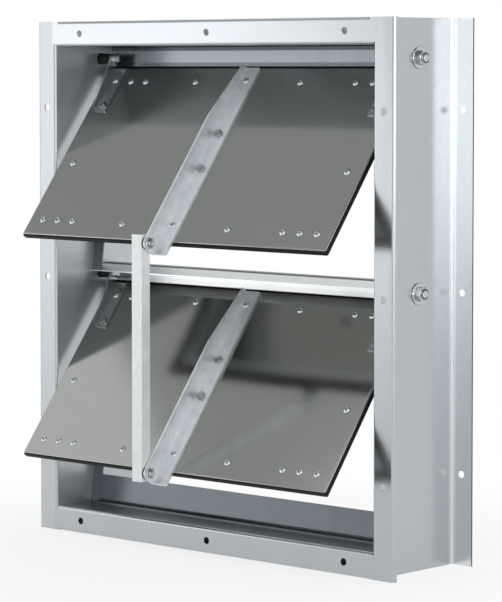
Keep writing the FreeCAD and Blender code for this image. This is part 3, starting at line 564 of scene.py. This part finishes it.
# Rivets: domed blind rivets of aluminium, 4 mm, set from the front. The mandrel has broken off
# below the head's rim, and the barrel has spread behind the retainers.

rivet_metal = plated("blind_rivet_aluminium", "#E2E4E5", "#CDD0D2", 0.20)
# The mandrels' near-black is partly the steel stub's own colour and partly painted shade for the
# hole in each rivet's head.
mandrel_steel = plated("mandrel_steel_with_painted_shade", "#3C3E40", "#2B2D2F", 0.45)
top_row, side_row, foot_row = -28.5, -160.0, -249.0
columns, edge_column = (89.5, 179, 206), 233
lever_front, bracket_front, retainer_back = -8.7, -9.7, -16.7


def blind_rivet(head, tail):
    """A turned shape between the faces that it clamps: barrel, shank and domed head with the
    mandrel's hole."""
    return turn_solid(level_rows([
        (1.2, tail - 1.5), (1.9, tail - 1.5), (2.7, tail - 1.3), (3.15, tail - 0.8),
        (3.25, tail - 0.3), (3.0, tail), (2.0, tail), (2.0, head), (4.2, head), (4.5, head + 0.15),
        (4.45, head + 0.4), (4.0, head + 0.95), (3.3, head + 1.5), (2.5, head + 1.9),
        (1.9, head + 2.1), (1.6, head + 2.1), (1.4, head + 1.95), (1.35, head + 0.9)]))


def mandrel(head):
    """A snapped stub: a short pin with a ragged cone of a top, sunk below the head's rim."""
    return turn_solid(level_rows([(1.3, head + 0.6), (1.3, head + 1.5), (1.1, head + 1.62),
                                  (0.5, head + 1.45)]))


def set_in_blade(name, solid, spots, turns=None):
    """Copies of a fastener through a blade, at (across, up) from its axle."""
    places = [on_blade(name, across, up, 0.0) for across, up in spots]
    return copies(solid, places, blade_axes, turns)


panel_spots = [(side * column, top_row) for side in (-1, 1) for column in columns]
panel_spots += [(side * column, foot_row) for side in (-1, 1) for column in (*columns, edge_column)]
panel_spots += [(-edge_column, side_row), (edge_column, side_row)]
lever_spots = [(0, top_row), (0, foot_row)]
bracket_spots = [(-edge_column, top_row), (edge_column, top_row)]
for name in axle_heights:
    for kind, spots, head in (("panel", panel_spots, sheet_front),
                              ("lever", lever_spots, lever_front),
                              ("bracket", bracket_spots, bracket_front)):
        make_piece(f"{name}_{kind}_blind_rivets",
                   set_in_blade(name, blind_rivet(head, retainer_back), spots), rivet_metal,
                   f"{name}_blade", "rivet_aluminium", f"{name}_{kind}_rivets")
        make_piece(f"{name}_{kind}_mandrels", set_in_blade(name, mandrel(head), spots),
                   mandrel_steel, f"{name}_blade", "zinc_fasteners")

# Bolts and nuts: M6 hexagon bolts through the levers and the brackets, with their nuts behind the
# blade. Bright zinc-plated steel, tightened by hand, so no two hexagons stand alike.

nut_height = 5


def hexagon_bolt(head, nut):
    """Threaded end, plain shank and a chamfered hexagon head with a slightly dished top."""
    nut_end = nut - nut_height
    return turn_solid(
        level_rows([(2.1, nut_end - 1.5), (2.5, nut_end - 1.3)]),
        thread_rows(6, 1.0, nut_end - 1.2, nut_end + 1),
        level_rows([(3.0, nut_end + 1), (3.0, head), (4.8, head), (4.8, head + 0.3)]),
        hexagon_rows(10, head + 0.3, head + 4),
        level_rows([(4.0, head + 3.9), (3.2, head + 3.7), (1.0, head + 3.65)]))


def hexagon_nut(flats, bore, low, high):
    """A chamfered hexagon with a countersunk bore."""
    sink = 0.06 * flats
    return turn_solid(hexagon_rows(flats, low, high),
                      level_rows([(bore / 2 + sink, high), (bore / 2, high - sink),
                                  (bore / 2, low + sink), (bore / 2 + sink, low)]), ring=True)


# Painted shade: the bolts' zinc is a darker copy of the bright zinc on the hinge pins, for the dark
# outlines round their heads.
bolt_zinc = plated("bolt_zinc_with_painted_shade", "#B4B7B9", "#94989B", 0.13)
lever_bolt_spots = [(0, -111.5), (0, -164.5)]
bracket_bolt_spots = [(-edge_column, -68.5), (edge_column, -68.5)]
bolt_turns, back_nut_turns = [0.35, 0.9], [0.1, 0.6]
for name in axle_heights:
    for kind, spots, head, nut in (("lever", lever_bolt_spots, lever_front, sheet_back),
                                   ("bracket", bracket_bolt_spots, bracket_front, retainer_back)):
        make_piece(f"{name}_{kind}_hexagon_bolts",
                   set_in_blade(name, hexagon_bolt(head, nut), spots, bolt_turns),
                   bolt_zinc, f"{name}_blade", "zinc_fasteners", f"{name}_{kind}_bolts")
        back_nut = hexagon_nut(10, 6.2, nut - nut_height, nut)
        make_piece(f"{name}_{kind}_hexagon_nuts",
                   set_in_blade(name, back_nut, spots, back_nut_turns),
                   bolt_zinc, f"{name}_blade", "zinc_fasteners", f"{name}_{kind}_nuts")

# Link: a bar of folded aluminium angle that ties the two levers together. Each end turns on an
# 8 mm pin with a low nut, and a nylon spacer keeps it off the lever.

link_metal = drawn_aluminium("silver_anodised_link", "#F2F4F4", "#E4E7E8", 0.42, square_on,
                             lines_upright, 0.30)
dress(link_metal, "link_bar")
dress(nylon, "upper_link_spacer", "lower_link_spacer")
pivot_up, pivot_front = -285.0, 4.2
head_seat, thread_start, thread_end = -16.7, -7.0, -5.3
low_nut_seat, low_nut_top = -9.5, -5.5
link_pin = turn_solid(
    level_rows([(4.6, head_seat - 3.5), (6.0, head_seat - 3.4), (6.45, head_seat - 3),
                (6.5, head_seat - 2.3), (6.5, head_seat - 0.3), (6.3, head_seat), (4, head_seat),
                (4, thread_start)]),
    thread_rows(8, 1.25, thread_start, thread_end),
    level_rows([(3.5, thread_end + 0.3), (3.1, thread_end + 0.6)]))
low_nut = hexagon_nut(13, 8.2, low_nut_seat, low_nut_top)
for name in axle_heights:
    pivot = on_blade(name, 0.0, pivot_up, pivot_front)
    make_piece(f"{name}_turned_link_pin", copies(link_pin, [pivot], [outwards[1]]), bright_zinc,
               f"{name}_blade", "zinc_fasteners", f"{name}_link_pin")
    make_piece(f"{name}_low_nut", copies(low_nut, [pivot], [outwards[1]], [0.5]), bright_zinc,
               f"{name}_blade", "zinc_fasteners", f"{name}_link_nut")

# Studio: a plain pale floor, soft lamps and the photograph's camera. The surroundings are white
# behind the object and low down all round, grey in front of it and overhead, where a studio is
# darker, and pale again overhead to the back.

reach = 12.0
floor_level = cad_box[0].z - 0.0002
floor_mesh = bpy.data.meshes.new("studio_floor")
floor_mesh.from_pydata([(-reach, -reach, floor_level), (reach, -reach, floor_level),
                        (reach, reach, floor_level), (-reach, reach, floor_level)],
                       [], [(0, 1, 2, 3)])
floor = bpy.data.objects.new("studio_floor", floor_mesh)
bpy.context.scene.collection.objects.link(floor)
paper, tree, shader, place = new_finish("white_paper_floor")
floor_mesh.materials.append(paper)
add_node(tree, shader, {"Base Color": linear("#F4F4F4"), "Roughness": 0.9})
seen = add_node(tree, "ShaderNodeLightPath")
mirrored = add_node(tree, "ShaderNodeMath", {"operation": "MAXIMUM"},
                    {"Value": (seen, "Is Camera Ray"), "Value_001": (seen, "Is Glossy Ray")})
shown = add_node(tree, "ShaderNodeMath", {"operation": "MAXIMUM"},
                 {"Value": (mirrored, "Value"), "Value_001": (seen, "Is Transmission Ray")})
# Its own white takes over from the shadowed paper away from the object, so no horizon shows.
# Under the casing the paper stays dark, up to 10 mm inside its webs and flanges.
shadow_near, shadow_far, shadow_share = 0.36, 0.85, 0.8
casing_middle, web_reach, rail_reach, edge_blur = 0.075, 0.272, 0.074, 0.010
away = add_node(tree, "ShaderNodeVectorMath", {"operation": "LENGTH"},
                {"Vector": (place, "Object")})
faded = add_node(tree, "ShaderNodeMapRange",
                 {"interpolation_type": "SMOOTHSTEP", "From Min": shadow_near,
                  "From Max": shadow_far, "To Min": shadow_share, "To Max": 1.0},
                 {"Value": (away, "Value")})
middle = add_node(tree, "ShaderNodeMapping",
                  {"Location": (0, -casing_middle, 0), "Scale": (1, 1, 0)},
                  {"Vector": (place, "Object")})
spread = add_node(tree, "ShaderNodeVectorMath", {"operation": "ABSOLUTE"},
                  {"Vector": (middle, "Vector")})
reaches = add_node(tree, "ShaderNodeSeparateXYZ", {}, {"Vector": (spread, "Vector")})
beside = add_node(tree, "ShaderNodeMapRange",
                  {"From Min": web_reach - edge_blur, "From Max": web_reach},
                  {"Value": (reaches, "X")})
behind = add_node(tree, "ShaderNodeMapRange",
                  {"From Min": rail_reach - edge_blur, "From Max": rail_reach},
                  {"Value": (reaches, "Y")})
clear = add_node(tree, "ShaderNodeMath", {"operation": "MAXIMUM"},
                 {"Value": (beside, "Result"), "Value_001": (behind, "Result")})
lit = add_node(tree, "ShaderNodeMath", {"operation": "MULTIPLY"},
               {"Value": (shown, "Value"), "Value_001": (clear, "Value")})
share = add_node(tree, "ShaderNodeMath", {"operation": "MULTIPLY"},
                 {"Value": (lit, "Value"), "Value_001": (faded, "Result")})
white = add_node(tree, "ShaderNodeEmission", {"Color": (1, 1, 1, 1), "Strength": 1.0})
mixed = add_node(tree, "ShaderNodeMixShader", {},
                 {"Fac": (share, "Value"), "Shader": (shader, "BSDF"),
                  "Shader_001": (white, "Emission")})
add_node(tree, tree.nodes["Material Output"], {}, {"Surface": (mixed, "Shader")})

# Directions in the world are unit vectors: 0.35 along an axis is about 20 degrees round.
side_reach = 0.35
ceiling_edge, ceiling_full = 0.12, 0.5
low_edge, low_full = 0.09, 0.02
world = bpy.data.worlds.new("studio_surroundings")
bpy.context.scene.world = world
world.use_nodes = True
sky = world.node_tree
direction = add_node(sky, "ShaderNodeTexCoord")
parts = add_node(sky, "ShaderNodeSeparateXYZ", {}, {"Vector": (direction, "Generated")})
level = add_node(sky, "ShaderNodeMapRange",
                 {"interpolation_type": "SMOOTHSTEP", "From Min": -side_reach,
                  "From Max": side_reach}, {"Value": (parts, "Y")})
across = add_node(sky, "ShaderNodeMapRange",
                  {"interpolation_type": "SMOOTHSTEP", "From Min": -side_reach,
                   "From Max": side_reach}, {"Value": (parts, "X")})
overhead = add_node(sky, "ShaderNodeMapRange",
                    {"interpolation_type": "SMOOTHSTEP", "From Min": ceiling_edge,
                     "From Max": ceiling_full}, {"Value": (parts, "Z")})
low_down = add_node(sky, "ShaderNodeMapRange",
                    {"interpolation_type": "SMOOTHSTEP", "From Min": low_edge,
                     "From Max": low_full}, {"Value": (parts, "Z")})
pale = add_node(sky, "ShaderNodeMath", {"operation": "MAXIMUM"},
                {"Value": (level, "Result"), "Value_001": (low_down, "Result")})
walls = add_node(sky, "ShaderNodeMix",
                 {"data_type": "RGBA", "A_Color": linear("#B0B1B2"), "B_Color": (1, 1, 1, 1)},
                 {"Factor_Float": (pale, "Value")})
ceiling = add_node(sky, "ShaderNodeMix",
                   {"data_type": "RGBA", "A_Color": linear("#CACBCC"),
                    "B_Color": linear("#88898A")}, {"Factor_Float": (across, "Result")})
rearwards = add_node(sky, "ShaderNodeMapRange",
                     {"interpolation_type": "SMOOTHSTEP", "From Min": 0.0,
                      "From Max": side_reach}, {"Value": (parts, "Y")})
open_ceiling = add_node(sky, "ShaderNodeMix", {"data_type": "RGBA", "B_Color": linear("#F4F5F5")},
                        {"Factor_Float": (rearwards, "Result"),
                         "A_Color": (ceiling, "Result_Color")})
surround = add_node(sky, "ShaderNodeMix", {"data_type": "RGBA"},
                    {"Factor_Float": (overhead, "Result"), "A_Color": (walls, "Result_Color"),
                     "B_Color": (open_ceiling, "Result_Color")})
add_node(sky, sky.nodes["Background"], {"Strength": 1.0}, {"Color": (surround, "Result_Color")})


def soft_lamp(name, azimuth, elevation, width, height, watts, far=3.6):
    """A soft lamp faced at the object, at an azimuth and an elevation in degrees and a distance."""
    turn, lift = math.radians(azimuth), math.radians(elevation)
    lamp = bpy.data.lights.new(name, "AREA")
    lamp.shape = "RECTANGLE"
    lamp.size, lamp.size_y, lamp.energy = width, height, watts
    holder = bpy.data.objects.new(name, lamp)
    holder.location = (far * math.cos(turn) * math.cos(lift), far * math.sin(turn) * math.cos(lift),
                       far * math.sin(lift))
    holder.rotation_euler = (math.pi / 2 - lift, 0, turn + math.pi / 2)
    bpy.context.scene.collection.objects.link(holder)


soft_lamp("left_softbox", -136.5, 4, 1.1, 1.2, 7)
soft_lamp("camera_softbox", -46, 4, 0.9, 0.9, 7)
soft_lamp("camera_high_softbox", -46, 32, 1.0, 1.6, 10.5)
soft_lamp("right_softbox", -8, 12, 1.5, 1.5, 12)
soft_lamp("right_rear_softbox", 14, 6, 0.9, 0.9, 8)
soft_lamp("right_front_softbox", -28, 8, 1.0, 1.0, 9)
soft_lamp("top_right_softbox", -20, 48, 1.2, 1.2, 4.5)
soft_lamp("top_left_softbox", -138, 44, 0.8, 0.8, 2)
soft_lamp("near_left_card", -160, 26, 0.7, 0.4, 0.5, 1.5)

look_down, look_round = 2.8975, 42.574
lens = bpy.data.cameras.new("camera")
lens.sensor_width = 36.0
lens.lens = 168.72
lens.shift_y = -0.15
lens.clip_start, lens.clip_end = 0.1, 100
camera = bpy.data.objects.new("camera", lens)
camera.location = (2.402, -2.5324, 0.2721)
camera.rotation_euler = (math.radians(90 - look_down), 0, math.radians(look_round))
bpy.context.scene.collection.objects.link(camera)
bpy.context.scene.camera = camera
bpy.context.scene.view_settings.view_transform = "Standard"
